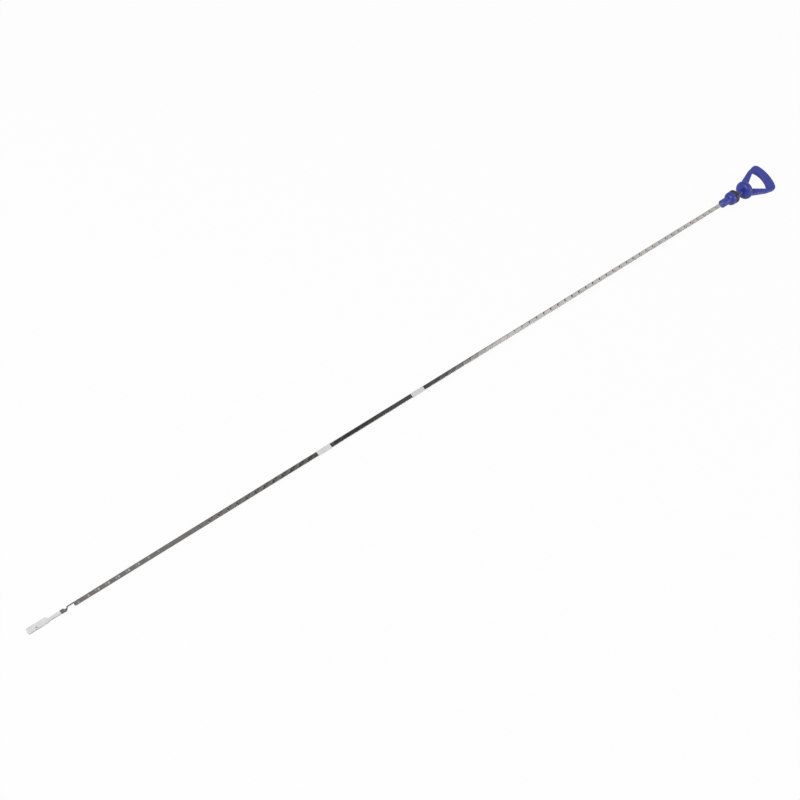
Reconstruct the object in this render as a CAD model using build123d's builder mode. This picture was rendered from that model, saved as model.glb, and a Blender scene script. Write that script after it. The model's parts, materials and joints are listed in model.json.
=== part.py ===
"""Engine oil dipstick: a long pressed steel strip with a finger-loop handle and a measuring tip.

It lies as it comes to rest on a level surface: the measuring tip flat, the rim of the cap on the
surface, and the strip and the finger loop leaning a little towards the front.
X runs along the stick from the tip to the handle, Z is up, and sizes are in millimetres.
"""

from build123d import *
from math import atan2, cos, radians, sin, tan
import os

# Measuring tip
PADDLE_LENGTH = 18.1
PADDLE_WIDTH = 6.2
PADDLE_SHIFT = 0.9
PADDLE_CORNER = 1.1
TIP_THICKNESS = 2.0
TIP_EDGE_ROUND = 0.35
TIP_HOLE_DIAMETER = 1.9
TIP_HOLE_PLACE = 8.2
TIP_HOLE_SHIFT = 0.9
TIP_NECK_LENGTH = 12.7
TIP_NECK_WIDTH = 3.1
TIP_SHOULDER_LENGTH = 1.5

# Steel strip
STRIP_WIDTH = 4.5
STRIP_THICKNESS = 0.6
LEAN = 22.0
TWIST_LENGTH = 145.0
TWIST_SPANS = 8
FOOT_LENGTH = 3.8
LINK_LENGTH = 9.0
LINK_WIDTH = 1.2
LINK_SLANT = 53.0
FAR_CUT_LENGTH = 2.0
FAR_CUT_DEPTH = 1.5
PIP_PITCH = 10.0
PIP_LENGTH = 4.2
PIP_WIDTH = 2.2
PIP_HEIGHT = 0.15
PIP_SEAT = 0.05
TANG_WIDTH = 1.5
TANG_HEAD_WIDTH = 2.6
TANG_HEAD_LENGTH = 3.0
TANG_REACH = 4.0
GRIP_LENGTH = 16.0
GRIP_HOLE_DIAMETER = 2.0
GRIP_HOLE_MARGIN = 4.5

# Guide sleeves
LOWER_SLEEVE_PLACE = 299.7
UPPER_SLEEVE_PLACE = 412.7
SLEEVE_LENGTH = 15.2
SLEEVE_WALL = 0.22
SLEEVE_ROUND = 0.25

# Handle, from the nose to the finger loop
HANDLE_PLACE = 857.3
NOSE_LENGTH = 10.6
NOSE_RADIUS = 4.4
NOSE_ROUND = 0.8
PLUG_LENGTH = 6.7
PLUG_RADIUS = 7.4
PLUG_DOME_LENGTH = 4.5
LIP_LENGTH = 1.0
LIP_RADIUS = 6.2
NECK_LENGTH = 10.5
NECK_RADIUS = 3.4
CAP_THICKNESS = 8.8
CAP_RADIUS = 10.3
CAP_RIM_WIDTH = 0.8
LOOP_LENGTH = 35.9
LOOP_THICKNESS = 4.4
LOOP_ROUND = 1.2
LOOP_ROOT_WIDTH = 16.2
LOOP_SPREAD = 37.2
LOOP_BOW = 5.0
LOOP_BEND_PLACE = 17.5
LOOP_BEND_WIDTH = 32.4
LOOP_BEND_RADIUS = 25.0
LOOP_CORNER = 6.5
BACK_BAR_WIDTH = 10.6
OPENING_DEPTH = 1.6
OPENING_SPREAD = 24.6
OPENING_BOW = 4.2
OPENING_CORNER = 2.2

# Seal ring
SEAL_LENGTH = 4.8
SEAL_THICKNESS = 2.6
SEAL_ROUND = 1.2
SEAL_STAND = 0.2
SEAL_CLEARANCE = 0.15

# Places along the stick, measured from the end of the tip
neck_end = PADDLE_LENGTH + TIP_NECK_LENGTH
foot_end = neck_end + FOOT_LENGTH
strip_start = foot_end + LINK_LENGTH
twist_end = foot_end + TWIST_LENGTH
tang_end = PADDLE_LENGTH - TANG_REACH
plug_place = HANDLE_PLACE + NOSE_LENGTH
dome_end = plug_place + PLUG_DOME_LENGTH
groove_place = plug_place + PLUG_LENGTH
groove_end = groove_place + SEAL_LENGTH + 2 * SEAL_CLEARANCE
lip_end = groove_end + LIP_LENGTH
cap_place = lip_end + NECK_LENGTH
cap_end = cap_place + CAP_THICKNESS
bend_place = cap_end + LOOP_BEND_PLACE
loop_end = cap_end + LOOP_LENGTH
groove_radius = PLUG_RADIUS + SEAL_STAND - SEAL_THICKNESS
cap_round = (CAP_THICKNESS - CAP_RIM_WIDTH) / 2

# The stick rests on the end of the tip and on the rim of the cap, so its axis rises towards the handle
rim_place = cap_place + cap_round
rise = atan2(CAP_RADIUS - TIP_THICKNESS / 2, rim_place)
tip_end = (-loop_end * cos(rise) / 2, 0, TIP_THICKNESS / 2 * cos(rise))
along = (cos(rise), 0, sin(rise))
stick_axis = Axis(tip_end, along)


def stick_plane(lean):
    """The plane through the stick whose face leans towards the front by this many degrees."""
    upright = Vector(-sin(rise), 0, cos(rise))
    return Plane(origin=tip_end, x_dir=along, z_dir=upright.rotate(Axis((0, 0, 0), along), lean))


flat = stick_plane(0)
leaning = stick_plane(LEAN)


def across(plane, place):
    """The plane square to the stick at a place along it, with its x sideways and its y away from the face."""
    return Plane(origin=plane.from_local_coords((place, 0, 0)), x_dir=plane.y_dir, z_dir=plane.x_dir)


def side_view(plane):
    """The plane that shows the stick from its side, with its x along the stick."""
    return Plane(origin=plane.origin, x_dir=plane.x_dir, z_dir=-plane.y_dir)


def lean_at(place):
    """How many degrees the strip leans at a place: none at the foot, growing evenly along the twist."""
    return LEAN * min(max((place - foot_end) / TWIST_LENGTH, 0), 1)


def is_bare(centre):
    """True where no sleeve covers a pip with this centre."""
    margin = PIP_LENGTH / 2 + SLEEVE_WALL
    for place in (LOWER_SLEEVE_PLACE, UPPER_SLEEVE_PLACE):
        if place - margin < centre < place + SLEEVE_LENGTH + margin:
            return False
    return True


# Pips are pressed up and down in turn, at half a pitch from one to the next, and are hollow behind
pip_hollow_width = PIP_WIDTH - STRIP_THICKNESS
pip_count = int((HANDLE_PLACE - strip_start) / (PIP_PITCH / 2))
pip_centres = [strip_start + number * PIP_PITCH / 2 for number in range(1, pip_count)]
raised_pips = [centre for centre in pip_centres[0::2] if is_bare(centre)]
sunk_pips = [centre for centre in pip_centres[1::2] if is_bare(centre)]


def pip_planes(width, height):
    """Side views at the pips' centres, at a height off the sheet's middle, for cuts or pads of this width."""
    turns = [(centre, lean_at(centre)) for centre in raised_pips]
    turns += [(centre, lean_at(centre) + 180) for centre in sunk_pips]
    views = [(centre, side_view(stick_plane(turn))) for centre, turn in turns]
    return [
        Plane(origin=view.from_local_coords((centre, height, -width / 2)), x_dir=view.x_dir, z_dir=view.z_dir)
        for centre, view in views
    ]


# Two cuts from opposite edges leave a narrow S-shaped link, which lets the tip bend
edge_height = STRIP_WIDTH / 2
far_floor = edge_height - FAR_CUT_DEPTH
near_floor = edge_height - LINK_WIDTH
slant_run = 1 / tan(radians(LINK_SLANT))
far_cut_end = foot_end + FAR_CUT_LENGTH
link_offset = LINK_WIDTH / sin(radians(LINK_SLANT))
near_cut_start = far_cut_end + link_offset


def slant(start, height):
    """The point at this height on a slanted side of the link that crosses the far cut's floor at start."""
    return (start + (height - far_floor) * slant_run, height)


with BuildSketch() as link_cuts:
    with BuildLine():
        Polyline(
            (foot_end, STRIP_WIDTH),
            (foot_end, far_floor),
            (far_cut_end, far_floor),
            slant(far_cut_end, STRIP_WIDTH),
            close=True,
        )
    make_face()
    with BuildLine():
        Polyline(
            slant(near_cut_start, -STRIP_WIDTH),
            slant(near_cut_start, near_floor),
            (strip_start, near_floor),
            (strip_start, -STRIP_WIDTH),
            close=True,
        )
    make_face()

# A pip from the side: a shallow arc on a chord that lies a little inside the sheet
with BuildSketch() as pip_segment:
    with BuildLine():
        pip_chord = Line((-PIP_LENGTH / 2, -PIP_SEAT), (PIP_LENGTH / 2, -PIP_SEAT))
        ThreePointArc(pip_chord @ 0, (0, PIP_HEIGHT), pip_chord @ 1)
    make_face()

# The end of the strip that the handle is moulded round, with a hole that the plastic fills
with BuildPart() as grip:
    with BuildSketch(across(leaning, HANDLE_PLACE)):
        Rectangle(STRIP_WIDTH, STRIP_THICKNESS)
    extrude(amount=GRIP_LENGTH)
    with BuildSketch(leaning):
        with Locations((HANDLE_PLACE + GRIP_LENGTH - GRIP_HOLE_MARGIN, 0)):
            Circle(GRIP_HOLE_DIAMETER / 2)
    extrude(amount=STRIP_THICKNESS, both=True, mode=Mode.SUBTRACT)

# The narrow end of the strip that the tip is moulded round, with a wider head
with BuildPart() as tang:
    with BuildSketch(across(flat, tang_end)):
        Rectangle(TANG_WIDTH, STRIP_THICKNESS)
    extrude(amount=neck_end - tang_end)
    with BuildSketch(across(flat, tang_end)):
        Rectangle(TANG_HEAD_WIDTH, STRIP_THICKNESS)
    extrude(amount=TANG_HEAD_LENGTH)

# Sections of the slow twist, from the level foot to the lean of the long length
twist_places = [foot_end + TWIST_LENGTH * number / TWIST_SPANS for number in range(TWIST_SPANS + 1)]
twist_sections = [across(stick_plane(lean_at(place)), place) for place in twist_places]

# Steel strip: tang, foot, springy link, a slow twist, the long pressed length and the end in the handle
with BuildPart() as blade:
    add(tang.part)
    with BuildSketch(across(flat, neck_end)):
        Rectangle(STRIP_WIDTH, STRIP_THICKNESS)
    extrude(amount=FOOT_LENGTH)
    with BuildSketch(*twist_sections):
        Rectangle(STRIP_WIDTH, STRIP_THICKNESS)
    loft(ruled=True)
    with BuildSketch(flat):
        add(link_cuts.sketch)
    extrude(amount=STRIP_WIDTH, both=True, mode=Mode.SUBTRACT)
    with BuildSketch(across(leaning, twist_end)):
        Rectangle(STRIP_WIDTH, STRIP_THICKNESS)
    extrude(amount=HANDLE_PLACE - twist_end)
    add(grip.part)
    with BuildSketch(*pip_planes(pip_hollow_width, -STRIP_THICKNESS / 2)):
        add(pip_segment.sketch)
    extrude(amount=pip_hollow_width, mode=Mode.SUBTRACT, clean=False)
    with BuildSketch(*pip_planes(PIP_WIDTH, STRIP_THICKNESS / 2)):
        add(pip_segment.sketch)
    extrude(amount=PIP_WIDTH, clean=False)
blade.part.label = "blade"

# Measuring tip: a flat paddle and its neck, moulded round the tang
with BuildPart() as tip:
    with BuildSketch(flat):
        with BuildLine():
            low = PADDLE_SHIFT - PADDLE_WIDTH / 2
            high = PADDLE_SHIFT + PADDLE_WIDTH / 2
            shoulder = PADDLE_LENGTH + TIP_SHOULDER_LENGTH
            Polyline(
                (0, low),
                (PADDLE_LENGTH, low),
                (shoulder, -TIP_NECK_WIDTH / 2),
                (neck_end, -TIP_NECK_WIDTH / 2),
                (neck_end, TIP_NECK_WIDTH / 2),
                (shoulder, TIP_NECK_WIDTH / 2),
                (PADDLE_LENGTH, high),
                (0, high),
                close=True,
            )
        make_face()
        end_corners, shoulder_corners = vertices().group_by(Axis.X)[:2]
        fillet(end_corners + shoulder_corners, PADDLE_CORNER)
        with Locations((TIP_HOLE_PLACE, -TIP_HOLE_SHIFT)):
            Circle(TIP_HOLE_DIAMETER / 2, mode=Mode.SUBTRACT)
    extrude(amount=TIP_THICKNESS / 2, both=True)
    faces_up = tip.faces().sort_by(Axis(tip_end, flat.z_dir))
    outer_wires = [faces_up[0].outer_wire(), faces_up[-1].outer_wire()]
    fillet([edge for wire in outer_wires for edge in wire.edges()], TIP_EDGE_ROUND)
    add(tang.part, mode=Mode.SUBTRACT)
tip.part.label = "tip"


def guide_sleeve(place):
    """A short plastic sleeve moulded round the bare strip."""
    with BuildPart() as sleeve:
        with BuildSketch(across(leaning, place)) as sleeve_section:
            RectangleRounded(STRIP_WIDTH + 2 * SLEEVE_WALL, STRIP_THICKNESS + 2 * SLEEVE_WALL, SLEEVE_ROUND)
            Rectangle(STRIP_WIDTH, STRIP_THICKNESS, mode=Mode.SUBTRACT)
        extrude(sleeve_section.sketch, amount=SLEEVE_LENGTH)
    return sleeve.part


guide_sleeve_lower = guide_sleeve(LOWER_SLEEVE_PLACE)
guide_sleeve_lower.label = "guide_sleeve_lower"
guide_sleeve_upper = guide_sleeve(UPPER_SLEEVE_PLACE)
guide_sleeve_upper.label = "guide_sleeve_upper"

# Opening of the finger loop: a rounded triangle whose two sides meet inside the cap
opening_end = loop_end - BACK_BAR_WIDTH
with BuildSketch() as loop_opening:
    with BuildLine():
        opening_far = (opening_end - OPENING_BOW, OPENING_SPREAD / 2)
        opening_near = (opening_end - OPENING_BOW, -OPENING_SPREAD / 2)
        ThreePointArc(opening_far, (opening_end, 0), opening_near)
        Polyline(opening_near, (cap_end - OPENING_DEPTH, 0), opening_far)
    make_face()
    fillet(vertices(), OPENING_CORNER)

# Finger loop: a flat bar bent to a rounded triangle, with a bowed back and its root in the cap
with BuildPart() as finger_loop:
    with BuildSketch(leaning):
        with BuildLine():
            loop_far = (loop_end - LOOP_BOW, LOOP_SPREAD / 2)
            loop_near = (loop_end - LOOP_BOW, -LOOP_SPREAD / 2)
            root_near = (rim_place, -LOOP_ROOT_WIDTH / 2)
            root_far = (rim_place, LOOP_ROOT_WIDTH / 2)
            bend_near = (bend_place, -LOOP_BEND_WIDTH / 2)
            bend_far = (bend_place, LOOP_BEND_WIDTH / 2)
            ThreePointArc(loop_far, (loop_end, 0), loop_near)
            Polyline(loop_near, bend_near, root_near, root_far, bend_far, loop_far)
        make_face()
        fillet(vertices().group_by(Axis.X)[1], LOOP_BEND_RADIUS)
        fillet(vertices().group_by(Axis.X)[-1], LOOP_CORNER)
        add(loop_opening.sketch, mode=Mode.SUBTRACT)
    extrude(amount=LOOP_THICKNESS / 2, both=True)
    loop_faces = finger_loop.faces().sort_by(Axis(tip_end, leaning.z_dir))
    fillet(loop_faces[0].edges() + loop_faces[-1].edges(), LOOP_ROUND)

# Handle: nose, plug, groove for the seal ring, neck, cap and finger loop in one moulding
with BuildPart() as handle:
    with BuildSketch(side_view(leaning)):
        with BuildLine():
            TangentArc((dome_end, PLUG_RADIUS), (plug_place, NOSE_RADIUS), tangent=(-1, 0))
            Polyline(
                (plug_place, NOSE_RADIUS),
                (HANDLE_PLACE, NOSE_RADIUS),
                (HANDLE_PLACE, 0),
                (cap_end, 0),
                (cap_end, CAP_RADIUS),
                (cap_place, CAP_RADIUS),
                (cap_place, NECK_RADIUS),
                (lip_end, NECK_RADIUS),
                (lip_end, LIP_RADIUS),
                (groove_end, LIP_RADIUS),
                (groove_end, groove_radius),
                (groove_place, groove_radius),
                (groove_place, PLUG_RADIUS),
                (dome_end, PLUG_RADIUS),
            )
        make_face()
        fillet(vertices().group_by(Axis.Y)[-1], cap_round)
        fillet(vertices().sort_by_distance((HANDLE_PLACE, NOSE_RADIUS))[0], NOSE_ROUND)
    revolve(axis=stick_axis)
    add(finger_loop.part)
    add(grip.part, mode=Mode.SUBTRACT)
handle.part.label = "handle"

# Seal ring: a wide rubber band with rounded edges, on the floor of the groove
with BuildPart() as seal_ring:
    with BuildSketch(leaning):
        with Locations(((groove_place + groove_end) / 2, groove_radius + SEAL_THICKNESS / 2)):
            RectangleRounded(SEAL_LENGTH, SEAL_THICKNESS, SEAL_ROUND)
    revolve(axis=stick_axis)
seal_ring.part.label = "seal_ring"

os.makedirs("parts", exist_ok=True)
for piece in (handle.part, seal_ring.part, blade.part, guide_sleeve_lower, guide_sleeve_upper, tip.part):
    export_step(piece, f"parts/{piece.label}.step")
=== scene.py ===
"""Engine oil dipstick: the looks of its pieces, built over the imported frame.

Blender units are metres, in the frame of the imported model: X runs along the stick from the tip to
the finger loop, and Z is up from the surface that the stick lies on.
"""

import json
import logging
import math
from dataclasses import dataclass
from enum import Enum

import bpy
import numpy as np
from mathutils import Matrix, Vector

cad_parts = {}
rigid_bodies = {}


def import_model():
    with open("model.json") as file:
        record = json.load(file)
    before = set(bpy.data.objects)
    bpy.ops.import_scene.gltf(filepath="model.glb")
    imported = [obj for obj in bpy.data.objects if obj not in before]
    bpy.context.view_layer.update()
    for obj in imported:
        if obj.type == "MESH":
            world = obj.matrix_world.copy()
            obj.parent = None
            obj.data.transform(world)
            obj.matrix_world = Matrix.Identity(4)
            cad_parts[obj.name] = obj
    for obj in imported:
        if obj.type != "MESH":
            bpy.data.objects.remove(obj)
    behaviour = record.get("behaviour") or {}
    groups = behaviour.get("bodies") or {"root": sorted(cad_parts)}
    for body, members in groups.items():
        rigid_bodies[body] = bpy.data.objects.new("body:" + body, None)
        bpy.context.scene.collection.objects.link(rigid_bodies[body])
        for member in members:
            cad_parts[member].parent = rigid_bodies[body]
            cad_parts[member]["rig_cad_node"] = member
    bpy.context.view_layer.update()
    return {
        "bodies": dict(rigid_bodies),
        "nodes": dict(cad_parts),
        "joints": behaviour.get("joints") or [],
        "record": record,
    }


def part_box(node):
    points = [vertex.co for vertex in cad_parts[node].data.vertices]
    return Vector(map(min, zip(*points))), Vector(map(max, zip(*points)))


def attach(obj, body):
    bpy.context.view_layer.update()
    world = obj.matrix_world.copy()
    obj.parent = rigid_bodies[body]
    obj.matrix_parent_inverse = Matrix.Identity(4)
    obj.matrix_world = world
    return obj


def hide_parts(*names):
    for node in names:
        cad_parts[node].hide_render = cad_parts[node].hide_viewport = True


MM = 0.001
BODY = "root"
EDGE_LAYER = "sheared_edge"
WHITE = (1.0, 1.0, 1.0, 1.0)

# Most of a noise lies between these values, which are spread over a finish's range.
NOISE_LOW = 0.3
NOISE_HIGH = 0.7
CLOUD_DETAIL = 3.0
GRAIN_DETAIL = 2.0

log = logging.getLogger("dipstick")


class Node(Enum):
    """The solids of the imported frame."""

    HANDLE = "handle"
    SEAL_RING = "seal_ring"
    BLADE = "blade"
    LOWER_SLEEVE = "guide_sleeve_lower"
    UPPER_SLEEVE = "guide_sleeve_upper"
    TIP = "tip"


class Slot(Enum):
    """The record's material slots."""

    HANDLE_PLASTIC = "handle_plastic"
    SEAL_RUBBER = "seal_rubber"
    STRIP_STEEL = "strip_steel"
    WHITE_PLASTIC = "white_plastic"


@dataclass(frozen=True)
class StickAxes:
    """The stick's own directions, as unit arrays in the row frame, from the end of the tip."""

    origin: np.ndarray
    along: np.ndarray
    upright: np.ndarray
    side: np.ndarray

    @classmethod
    def from_frame(cls, frame: dict) -> "StickAxes":
        """Read the axis from the plug's mount, which lies on it and points to the tip.


        Returns:
            The axes, with their origin where the axis leaves the tip.
        """
        plug = frame["record"]["mounts"][0]
        along = -np.array(plug["axis"])
        on_axis = np.array(plug["pos_m"])
        tip_low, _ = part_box(Node.TIP.value)
        origin = on_axis + along * (tip_low.x - on_axis[0]) / along[0]
        side = np.array([0.0, 1.0, 0.0])
        return cls(origin, along, np.cross(along, side), side)

    def face_normal(self, lean: float) -> np.ndarray:
        """The way that a face leaning to the front by this many radians looks."""
        return self.upright * math.cos(lean) - self.side * math.sin(lean)

    def points(
        self, place: np.ndarray, across: np.ndarray, height: np.ndarray, lean: np.ndarray
    ) -> np.ndarray:
        """Turn places on the stick into points of the row frame.

        A point goes along the axis by its place, then sideways and off the face by across and
        height, in the pair of directions that the lean has turned about the axis.

        Args:
            place: Distances along the axis from the end of the tip.
            across: Distances sideways, positive away from the front.
            height: Distances off the face.
            lean: Turns of the face towards the front, in radians.

        Returns:
            Points, with the arguments' shape and a last side of 3.
        """
        side_share = across * np.cos(lean) - height * np.sin(lean)
        up_share = across * np.sin(lean) + height * np.cos(lean)
        shares = ((place, self.along), (side_share, self.side), (up_share, self.upright))
        return self.origin + sum(share[..., None] * direction for share, direction in shares)


class Graph:
    """A material's node tree, with short calls that add nodes and join them."""

    def __init__(self, name: str) -> None:
        """Start a material that holds one Principled shader.

        Args:
            name: The material's name.
        """
        self.material = bpy.data.materials.new(name)
        self.material.use_nodes = True
        self.tree = self.material.node_tree
        self.shader = self.tree.nodes["Principled BSDF"]
        self.object_points = self.add("ShaderNodeTexCoord").outputs["Object"]

    def add(self, kind: str, **settings: object) -> bpy.types.Node:
        """Add a node and set its properties.

        Args:
            kind: The node's type name.
            settings: Values of the node's own properties.

        Returns:
            The new node.
        """
        node = self.tree.nodes.new(kind)
        for name, value in settings.items():
            setattr(node, name, value)
        return node

    def feed(self, node: bpy.types.Node, **inputs: object) -> bpy.types.Node:
        """Set or link a node's inputs, whose names have _ for a space.

        Args:
            node: The node to feed.
            inputs: A socket to link or a plain value for each input.

        Returns:
            The same node.
        """
        for name, value in inputs.items():
            self.put(node.inputs[name.replace("_", " ")], value)
        return node

    def put(self, socket: bpy.types.NodeSocket, value: object) -> None:
        """Link an input to the given socket, or set it to the given plain value."""
        if isinstance(value, bpy.types.NodeSocket):
            self.tree.links.new(value, socket)
        else:
            socket.default_value = value

    def reckon(self, operation: str, *values: object) -> bpy.types.NodeSocket:
        """The result of a math node on these numbers or sockets."""
        node = self.add("ShaderNodeMath", operation=operation)
        for socket, value in zip(node.inputs, values):
            self.put(socket, value)
        return node.outputs["Value"]

    def noise(
        self, size: float, stretch: tuple = (1.0, 1.0, 1.0), detail: float = CLOUD_DETAIL
    ) -> bpy.types.NodeSocket:
        """Cloudy noise on object coordinates.

        Args:
            size: Size of its clouds in metres.
            stretch: How many times longer the clouds are along X, Y and Z.
            detail: Octaves of finer noise.

        Returns:
            The noise, around 0.5.
        """
        scale = tuple(1.0 / (size * times) for times in stretch)
        mapping = self.feed(self.add("ShaderNodeMapping"), Vector=self.object_points, Scale=scale)
        noise = self.add("ShaderNodeTexNoise")
        self.feed(noise, Vector=mapping.outputs["Vector"], Scale=1.0, Detail=detail)
        return noise.outputs["Fac"]

    def spread(self, value: bpy.types.NodeSocket, low: float, high: float) -> bpy.types.NodeSocket:
        """Map the middle of a noise, where most of it lies, to a range of numbers."""
        node = self.add("ShaderNodeMapRange")
        self.feed(node, Value=value, From_Min=NOISE_LOW, From_Max=NOISE_HIGH)
        self.feed(node, To_Min=low, To_Max=high)
        return node.outputs["Result"]

    def tint(
        self, value: bpy.types.NodeSocket, first: tuple, second: tuple
    ) -> bpy.types.NodeSocket:
        """A colour between two linear ones, by the middle of a noise."""
        ramp = self.add("ShaderNodeValToRGB")
        low, high = ramp.color_ramp.elements
        low.position, low.color = NOISE_LOW, (*first, 1.0)
        high.position, high.color = NOISE_HIGH, (*second, 1.0)
        return self.feed(ramp, Fac=value).outputs["Color"]

    def blend(
        self, share: bpy.types.NodeSocket, first: object, second: object, kind: str = "RGBA"
    ) -> bpy.types.NodeSocket:
        """Mix two colours, or with kind FLOAT two numbers, by a share of the second.

        Args:
            share: How much of the second there is.
            first: A socket to link or a plain value.
            second: A socket to link or a plain value.
            kind: The mix node's data type.

        Returns:
            The mixed value.
        """
        mix = self.add("ShaderNodeMix", data_type=kind)
        named = {"Factor": share, "A": first, "B": second}
        for name, value in named.items():
            self.put(next(one for one in mix.inputs if one.name == name and one.enabled), value)
        return next(one for one in mix.outputs if one.enabled)

    def bump(
        self,
        height: bpy.types.NodeSocket,
        depth: float,
        under: bpy.types.NodeSocket | None = None,
    ) -> bpy.types.NodeSocket:
        """A normal roughened by a height of the given depth in metres, over another normal."""
        node = self.feed(self.add("ShaderNodeBump"), Height=height, Distance=depth, Strength=1.0)
        if under is not None:
            self.feed(node, Normal=under)
        return node.outputs["Normal"]


@dataclass(frozen=True)
class MouldedPlastic:
    """A moulded plastic: two close colours in clouds, a fine grain and, at will, a mould seam."""

    name: str
    first: tuple
    second: tuple
    cloud: float
    roughness: tuple
    grain: float
    grain_depth: float
    polish_parts: float = 3.0
    seam_height: float = 0.0
    seam_width: float = 0.12 * MM

    def material(self, axes: StickAxes, lean: float) -> bpy.types.Material:
        """Make the material.

        Args:
            axes: The stick's axes, for the plane of the mould seam.
            lean: How far that plane leans to the front, in radians.

        Returns:
            The new material.
        """
        graph = Graph(self.name)
        clouds = graph.noise(self.cloud)
        normal = graph.bump(graph.noise(self.grain, detail=GRAIN_DETAIL), self.grain_depth)
        if self.seam_height:
            normal = graph.bump(self._seam(graph, axes, lean), self.seam_height, normal)
        graph.feed(
            graph.shader,
            Base_Color=graph.tint(clouds, self.first, self.second),
            Roughness=graph.spread(graph.noise(self.cloud / self.polish_parts), *self.roughness),
            Normal=normal,
        )
        return graph.material

    def _seam(self, graph: Graph, axes: StickAxes, lean: float) -> bpy.types.NodeSocket:
        """A ridge of height 1 on the plane through the axis, which fades over the seam's width.

        The distance from the plane is a point's dot product with the plane's normal, less that of
        a point on the plane.

        Args:
            graph: The material's nodes.
            axes: The stick's axes.
            lean: How far the plane leans to the front, in radians.

        Returns:
            The ridge's height.
        """
        normal = axes.face_normal(lean)
        dot = graph.add("ShaderNodeVectorMath", operation="DOT_PRODUCT")
        graph.put(dot.inputs[0], graph.object_points)
        graph.put(dot.inputs[1], normal)
        distance = graph.reckon("SUBTRACT", dot.outputs["Value"], float(normal @ axes.origin))
        reach = graph.reckon("ABSOLUTE", distance)
        ridge = graph.add("ShaderNodeMapRange", interpolation_type="SMOOTHSTEP")
        graph.feed(ridge, Value=reach, From_Max=self.seam_width, To_Min=1.0, To_Max=0.0)
        return ridge.outputs["Result"]


@dataclass(frozen=True)
class RolledSteel:
    """Bright rolled steel: fine lines along the strip, and a polish that varies a little."""

    name: str = "rolled_steel"
    first: tuple = (0.6, 0.59, 0.565)
    second: tuple = (0.68, 0.67, 0.64)
    edge: tuple = (0.16, 0.16, 0.155)
    cloud: float = 6 * MM
    cloud_stretch: tuple = (3.0, 1.0, 1.0)
    line: float = 0.12 * MM
    line_stretch: tuple = (60.0, 1.0, 1.0)
    line_depth: float = 0.0006 * MM
    roughness: tuple = (0.05, 0.1)
    edge_roughness: float = 0.5

    def material(self) -> bpy.types.Material:
        """Make the material."""
        graph = Graph(self.name)
        lines = graph.noise(self.line, self.line_stretch, detail=GRAIN_DETAIL)
        edge = graph.add("ShaderNodeAttribute", attribute_name=EDGE_LAYER).outputs["Fac"]
        face = graph.tint(graph.noise(self.cloud, self.cloud_stretch), self.first, self.second)
        polish = graph.spread(lines, *self.roughness)
        graph.feed(
            graph.shader,
            Base_Color=graph.blend(edge, face, (*self.edge, 1.0)),
            Metallic=1.0,
            Roughness=graph.blend(edge, polish, self.edge_roughness, "FLOAT"),
            Normal=graph.bump(lines, self.line_depth),
        )
        return graph.material


@dataclass(frozen=True)
class SealRubber:
    """Black rubber with a dull, faintly uneven skin."""

    name: str = "seal_rubber"
    first: tuple = (0.008, 0.008, 0.009)
    second: tuple = (0.018, 0.018, 0.02)
    cloud: float = 1.5 * MM
    grain: float = 0.15 * MM
    grain_depth: float = 0.006 * MM
    polish_parts: float = 2.0
    roughness: tuple = (0.42, 0.58)

    def material(self) -> bpy.types.Material:
        """Make the material."""
        graph = Graph(self.name)
        graph.feed(
            graph.shader,
            Base_Color=graph.tint(graph.noise(self.cloud), self.first, self.second),
            Roughness=graph.spread(graph.noise(self.cloud / self.polish_parts), *self.roughness),
            Normal=graph.bump(graph.noise(self.grain), self.grain_depth),
        )
        return graph.material


BLUE_PLASTIC = MouldedPlastic(
    name="blue_moulded_plastic",
    first=(0.026, 0.036, 0.27),
    second=(0.033, 0.045, 0.32),
    cloud=9 * MM,
    roughness=(0.36, 0.48),
    grain=0.22 * MM,
    grain_depth=0.006 * MM,
    seam_height=0.05 * MM,
)
WHITE_PLASTIC = MouldedPlastic(
    name="white_moulded_plastic",
    first=(0.555, 0.555, 0.55),
    second=(0.615, 0.615, 0.61),
    cloud=5 * MM,
    roughness=(0.4, 0.52),
    grain=0.18 * MM,
    grain_depth=0.003 * MM,
)


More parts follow.
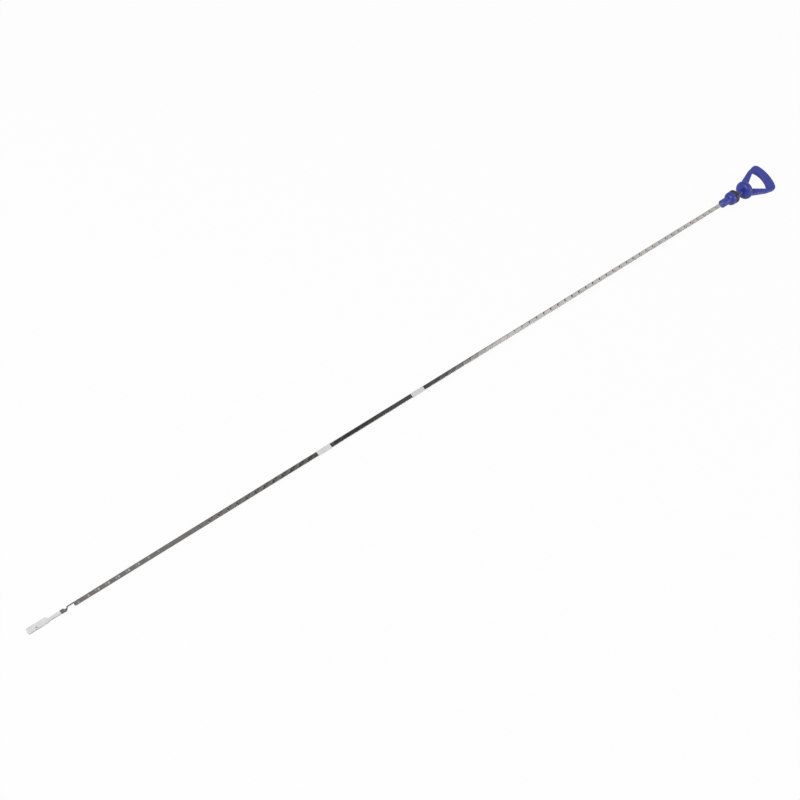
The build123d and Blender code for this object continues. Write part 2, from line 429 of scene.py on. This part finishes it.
@dataclass(frozen=True)
class PressedStrip:
    """The steel strip: tang, foot, S-shaped link and the long length with its pips.

    Places are distances from the end of the tip. The pips' heights are given at places along the
    strip, with even change between them, and a pip pressed down has a share of the height.
    """

    width: float = 4.5 * MM
    thickness: float = 0.6 * MM
    lean: float = math.radians(22.0)
    twist_length: float = 145.0 * MM
    tang_start: float = 27.0 * MM
    tang_width: float = 1.5 * MM
    neck_end: float = 30.8 * MM
    shoulder_slope: float = 0.1 * MM
    foot_end: float = 34.6 * MM
    strip_start: float = 43.6 * MM
    strip_end: float = 866.0 * MM
    far_cut_length: float = 2.0 * MM
    far_cut_depth: float = 1.5 * MM
    link_width: float = 1.2 * MM
    link_slant: float = math.radians(53.0)
    pip_pitch: float = 10.0 * MM
    pip_length: float = 3.8 * MM
    pip_width: float = 2.8 * MM
    pip_heights: tuple = (
        (100 * MM, 0.17 * MM),
        (220 * MM, 0.07 * MM),
        (340 * MM, 0.012 * MM),
        (420 * MM, 0.007 * MM),
        (530 * MM, 0.007 * MM),
        (640 * MM, 0.14 * MM),
        (730 * MM, 0.17 * MM),
        (800 * MM, 0.21 * MM),
    )
    sunk_share: float = 0.35
    pips_end: float = 857.3 * MM
    sleeve_places: tuple = (299.7 * MM, 412.7 * MM)
    sleeve_length: float = 15.2 * MM
    sleeve_wall: float = 0.22 * MM
    station_step: float = 0.38 * MM
    corner_parts: int = 3
    corner_reach: int = 3
    columns: int = 19
    edge_power: float = 24.0
    edge_fade: float = 10.0
    pip_power: float = 1.4
    pip_side_power: float = 6.0

    def build(self, axes: StickAxes) -> bpy.types.Object:
        """Make the strip as one closed mesh, a section carried along the stations.

        Args:
            axes: The stick's axes.

        Returns:
            The strip, riding on the body, in place of the plain solid.
        """
        near, far = self._stations()
        share, height = self._section()
        plan = near[:, None, :] + share[None, :, None] * (far - near)[:, None, :]
        place, across = plan[..., 0], plan[..., 1]
        raised = height[None, :] + self._pips(place, across)
        turn = np.clip((place - self.foot_end) / self.twist_length, 0.0, 1.0)
        points = axes.points(place, across, raised, turn * self.lean)
        strip = closed_tube("pressed_strip", points)
        edge = np.abs(2 * share - 1) ** self.edge_fade
        layer = strip.data.attributes.new(EDGE_LAYER, "FLOAT", "POINT")
        layer.data.foreach_set("value", np.tile(edge, len(place)))
        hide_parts(Node.BLADE.value)
        return strip

    def _stations(self) -> tuple[np.ndarray, np.ndarray]:
        """Matching points of the front and back edges, as rows of place along and distance across.

        The first corners outline the tang, the foot and the link, and are joined by straight runs
        that a short average rounds. Even steps along the plain strip follow.

        Returns:
            The front edge's points and the back edge's points.
        """
        half = self.width / 2
        shoulder = self.neck_end + self.shoulder_slope
        floor = half - self.far_cut_depth
        ceiling = half - self.link_width
        run = 1 / math.tan(self.link_slant)
        far_end = self.foot_end + self.far_cut_length
        near_start = far_end + self.link_width / math.sin(self.link_slant)
        link_near = near_start + (ceiling - floor) * run
        link_far = far_end + (half - floor) * run
        tang = self.tang_width / 2
        lead = self.thickness
        plain_start = self.strip_start + 2 * lead
        corners = np.array([
            [(self.tang_start, -tang), (self.tang_start, tang)],
            [(self.neck_end, -tang), (self.neck_end, tang)],
            [(shoulder, -half), (shoulder, half)],
            [(self.foot_end - lead, -half), (self.foot_end, half)],
            [(self.foot_end, -half), (self.foot_end, floor)],
            [(near_start - (floor + half) * run, -half), (far_end, floor)],
            [(link_near, ceiling), (link_far, half)],
            [(self.strip_start, ceiling), (self.strip_start, half)],
            [(self.strip_start, -half), (self.strip_start + lead, half)],
            [(plain_start, -half), (plain_start, half)],
        ])
        runs = np.linalg.norm(np.diff(corners, axis=0), axis=2).max(axis=1)
        reached = np.concatenate([[0.0], np.cumsum(runs)])
        corner_step = self.station_step / self.corner_parts
        steps = np.linspace(0.0, reached[-1], int(reached[-1] / corner_step))
        flat = corners.reshape(len(corners), -1)
        sampled = np.stack([np.interp(steps, reached, column) for column in flat.T], axis=1)
        rounded = smoothed(sampled, self.corner_reach)
        plain = np.arange(plain_start + self.station_step, self.strip_end, self.station_step)
        edge = np.full_like(plain, half)
        strip = np.stack([plain, -edge, plain, edge], axis=1)
        stations = np.concatenate([rounded, strip])
        return stations[:, :2], stations[:, 2:]

    def _section(self) -> tuple[np.ndarray, np.ndarray]:
        """The strip's section as a ring: shares of the width, and heights off the middle.

        The columns crowd towards the edges as a cosine does, and the height falls to nothing at
        the edges by a high power of the distance from the middle, so the edges are rounded.

        Returns:
            The shares and the heights, upper face first and lower face back.
        """
        share = (1 - np.cos(np.linspace(0, math.pi, self.columns))) / 2
        height = self.thickness / 2 * np.sqrt(1 - np.abs(2 * share - 1) ** self.edge_power)
        inner = slice(-2, 0, -1)
        return np.concatenate([share, share[inner]]), np.concatenate([height, -height[inner]])

    def _pips(self, place: np.ndarray, across: np.ndarray) -> np.ndarray:
        """How far the pips lift the sheet: low arches, up and down in turn at half a pitch.

        A pip's lift is its height times an arch along the strip, a power of one less the squared
        distance from its centre in half lengths, and times a flat top across, one less a high power
        of the distance in half widths. The last pip stays a step or more short of the handle, and
        those under a sleeve are left out.

        Args:
            place: Places along the stick.
            across: Distances from the middle of the strip.

        Returns:
            The lift, in the same shape.
        """
        step = self.pip_pitch / 2
        first = self.strip_start + step
        last = int((self.pips_end - self.strip_start) / step) - 2
        number = np.clip(np.rint((place - first) / step), 0, last)
        centre = first + number * step
        ahead = 2 * (place - centre) / self.pip_length
        aside = np.abs(2 * across / self.pip_width)
        arch = np.clip(1 - ahead**2, 0.0, None) ** self.pip_power
        flat_top = np.clip(1 - aside**self.pip_side_power, 0.0, None)
        places, heights = zip(*self.pip_heights)
        lift = np.interp(centre, places, heights) * arch * flat_top
        margin = self.pip_length / 2 + self.sleeve_wall
        for sleeve in self.sleeve_places:
            covered = (centre > sleeve - margin) & (centre < sleeve + self.sleeve_length + margin)
            lift = np.where(covered, 0.0, lift)
        return np.where(number % 2 == 0, lift, -self.sunk_share * lift)


def smoothed(rows: np.ndarray, reach: int) -> np.ndarray:
    """Average each row with its neighbours up to reach steps away, with the ends held.

    Args:
        rows: Points in order, one in a row.
        reach: Neighbours taken on each side.

    Returns:
        The averaged rows.
    """
    padded = np.pad(rows, ((reach, reach), (0, 0)), mode="edge")
    window = np.lib.stride_tricks.sliding_window_view(padded, 2 * reach + 1, axis=0)
    return window.mean(axis=-1)


def closed_tube(name: str, rings: np.ndarray) -> bpy.types.Object:
    """Make a mesh of rings joined by quads, with a face across each end.

    Args:
        name: The object's name.
        rings: Points of each ring, with all rings the same length.

    Returns:
        The new object, linked to the scene.
    """
    count, around = rings.shape[:2]
    index = np.arange(count * around).reshape(count, around)
    following = np.roll(index, -1, axis=1)
    quads = np.stack([index[:-1], index[1:], following[1:], following[:-1]], axis=-1).reshape(-1, 4)
    caps = [index[0].tolist(), index[-1, ::-1].tolist()]
    mesh = bpy.data.meshes.new(name)
    mesh.from_pydata(rings.reshape(-1, 3), [], quads.tolist() + caps)
    mesh.polygons.foreach_set("use_smooth", np.ones(len(mesh.polygons), bool))
    mesh.validate()
    mesh.update()
    made = bpy.data.objects.new(name, mesh)
    bpy.context.scene.collection.objects.link(made)
    return made


@dataclass(frozen=True)
class PhotoCamera:
    """The camera, at the place and angle from which the object was photographed."""

    location: tuple = (-0.59959, -0.64466, 0.92439)
    azimuth: float = math.radians(39.419)
    elevation: float = math.radians(47.642)
    focal_pixels: float = 1300.0
    image_pixels: float = 800.0
    sensor_width: float = 36.0

    def build(self) -> None:
        """Make the camera and give it to the scene."""
        data = bpy.data.cameras.new("camera")
        data.sensor_width = self.sensor_width
        data.lens = self.focal_pixels * self.sensor_width / self.image_pixels
        camera = bpy.data.objects.new("camera", data)
        camera.location = self.location
        camera.rotation_euler = (math.pi / 2 - self.elevation, 0.0, -self.azimuth)
        bpy.context.scene.collection.objects.link(camera)
        bpy.context.scene.camera = camera


@dataclass(frozen=True)
class SoftBox:
    """A large soft lamp that points at the middle of the stick."""

    name: str
    location: tuple
    size: float
    power: float

    def build(self) -> None:
        """Make the lamp."""
        data = bpy.data.lights.new(self.name, "AREA")
        data.size = self.size
        data.energy = self.power
        lamp = bpy.data.objects.new(self.name, data)
        lamp.location = self.location
        lamp.rotation_euler = (-lamp.location).to_track_quat("-Z", "Y").to_euler()
        bpy.context.scene.collection.objects.link(lamp)


@dataclass(frozen=True)
class Studio:
    """A pale floor, lamps, and a room of light and dark bands for the steel to mirror.

    The room's stops are pairs of a direction's nearness to the ceiling's, where 1 is the ceiling's
    own direction, and the grey level there.
    """

    floor_half: float = 6.0
    floor_color: tuple = (0.6, 0.6, 0.6, 1.0)
    floor_drop: float = 0.02 * MM
    backdrop_share: float = 0.96
    ceiling: tuple = (-0.1, 0.3, 0.949)
    room: tuple = (
        (0.0, 0.1),
        (0.3, 0.3),
        (0.55, 0.63),
        (0.64, 0.75),
        (0.68, 0.78),
        (0.7, 0.82),
        (0.732, 0.84),
        (0.741, 0.4),
        (0.749, 0.07),
        (0.762, 0.07),
        (0.774, 0.13),
        (0.782, 0.08),
        (0.79, 0.035),
        (0.797, 0.035),
        (0.806, 0.16),
        (0.835, 0.3),
        (0.86, 0.3),
        (0.9, 0.25),
        (0.95, 0.27),
        (0.968, 0.29),
        (0.985, 0.66),
        (1.0, 0.66),
    )
    lamps: tuple = (
        SoftBox("key_lamp", (-1.7, 0.0, 1.7), 1.0, 42.0),
        SoftBox("front_lamp", (1.6, -2.4, 0.95), 1.2, 35.0),
        SoftBox("end_lamp", (2.6, 0.6, 1.0), 1.0, 6.0),
    )

    def build(self) -> None:
        """Make the floor, the room and the lamps."""
        self._floor()
        self._room()
        for lamp in self.lamps:
            lamp.build()

    def _floor(self) -> None:
        """A square of floor, white to the camera and to mirrors, that keeps a faint shadow."""
        half = self.floor_half
        mesh = bpy.data.meshes.new("floor")
        corners = [(-half, -half), (half, -half), (half, half), (-half, half)]
        mesh.from_pydata([(x, y, -self.floor_drop) for x, y in corners], [], [(0, 1, 2, 3)])
        floor = bpy.data.objects.new("floor", mesh)
        bpy.context.scene.collection.objects.link(floor)
        graph = Graph("pale_floor")
        graph.tree.nodes.remove(graph.shader)
        diffuse = graph.feed(graph.add("ShaderNodeBsdfDiffuse"), Color=self.floor_color)
        white = graph.feed(graph.add("ShaderNodeEmission"), Color=WHITE, Strength=1.0)
        rays = graph.add("ShaderNodeLightPath").outputs
        seen = rays["Is Camera Ray"]
        for kind in ("Is Glossy Ray", "Is Transmission Ray"):
            seen = graph.reckon("MAXIMUM", seen, rays[kind])
        share = graph.reckon("MULTIPLY", seen, self.backdrop_share)
        mix = graph.feed(graph.add("ShaderNodeMixShader"), Fac=share)
        graph.put(mix.inputs[1], diffuse.outputs["BSDF"])
        graph.put(mix.inputs[2], white.outputs["Emission"])
        graph.feed(graph.tree.nodes["Material Output"], Surface=mix.outputs["Shader"])
        mesh.materials.append(graph.material)

    def _room(self) -> None:
        """A room of bands, by a direction's dot product with the ceiling's, white to the camera."""
        world = bpy.data.worlds.new("room")
        world.use_nodes = True
        tree = world.node_tree
        around = tree.nodes["Background"]
        direction = tree.nodes.new("ShaderNodeTexCoord")
        nearness = tree.nodes.new("ShaderNodeVectorMath")
        nearness.operation = "DOT_PRODUCT"
        nearness.inputs[1].default_value = self.ceiling
        ramp = tree.nodes.new("ShaderNodeValToRGB")
        tree.links.new(direction.outputs["Generated"], nearness.inputs[0])
        tree.links.new(nearness.outputs["Value"], ramp.inputs["Fac"])
        tree.links.new(ramp.outputs["Color"], around.inputs["Color"])
        stops = ramp.color_ramp.elements
        for place, _ in self.room[1:-1]:
            stops.new(place)
        for stop, (place, level) in zip(stops, self.room):
            stop.position = place
            stop.color = (level, level, level, 1.0)
        white = tree.nodes.new("ShaderNodeBackground")
        white.inputs["Color"].default_value = WHITE
        mix = tree.nodes.new("ShaderNodeMixShader")
        rays = tree.nodes.new("ShaderNodeLightPath")
        tree.links.new(rays.outputs["Is Camera Ray"], mix.inputs["Fac"])
        tree.links.new(around.outputs[0], mix.inputs[1])
        tree.links.new(white.outputs[0], mix.inputs[2])
        tree.links.new(mix.outputs[0], tree.nodes["World Output"].inputs["Surface"])
        bpy.context.scene.world = world


def dress(piece: bpy.types.Object, material: bpy.types.Material) -> None:
    """Give a piece its finish, and set it on the body.

    Args:
        piece: A solid of the frame, or a new piece.
        material: The finish.
    """
    piece.data.materials.clear()
    piece.data.materials.append(material)
    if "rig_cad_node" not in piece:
        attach(piece, BODY)
    log.info("%s: %s, %d faces", piece.name, material.name, len(piece.data.polygons))


def main() -> None:
    """Load the frame, build and dress the pieces, and set the stage."""
    logging.basicConfig(level=logging.INFO, format="%(name)s: %(message)s")
    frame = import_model()
    axes = StickAxes.from_frame(frame)
    strip = PressedStrip()
    blue = BLUE_PLASTIC.material(axes, strip.lean)
    white = WHITE_PLASTIC.material(axes, strip.lean)
    nodes = frame["nodes"]
    dress(nodes[Node.HANDLE.value], blue)
    dress(nodes[Node.SEAL_RING.value], SealRubber().material())
    dress(strip.build(axes), RolledSteel().material())
    for node in (Node.LOWER_SLEEVE, Node.UPPER_SLEEVE, Node.TIP):
        dress(nodes[node.value], white)
    Studio().build()
    PhotoCamera().build()
    bpy.context.scene.view_settings.view_transform = "Standard"


if __name__ == "__main__":
    main()
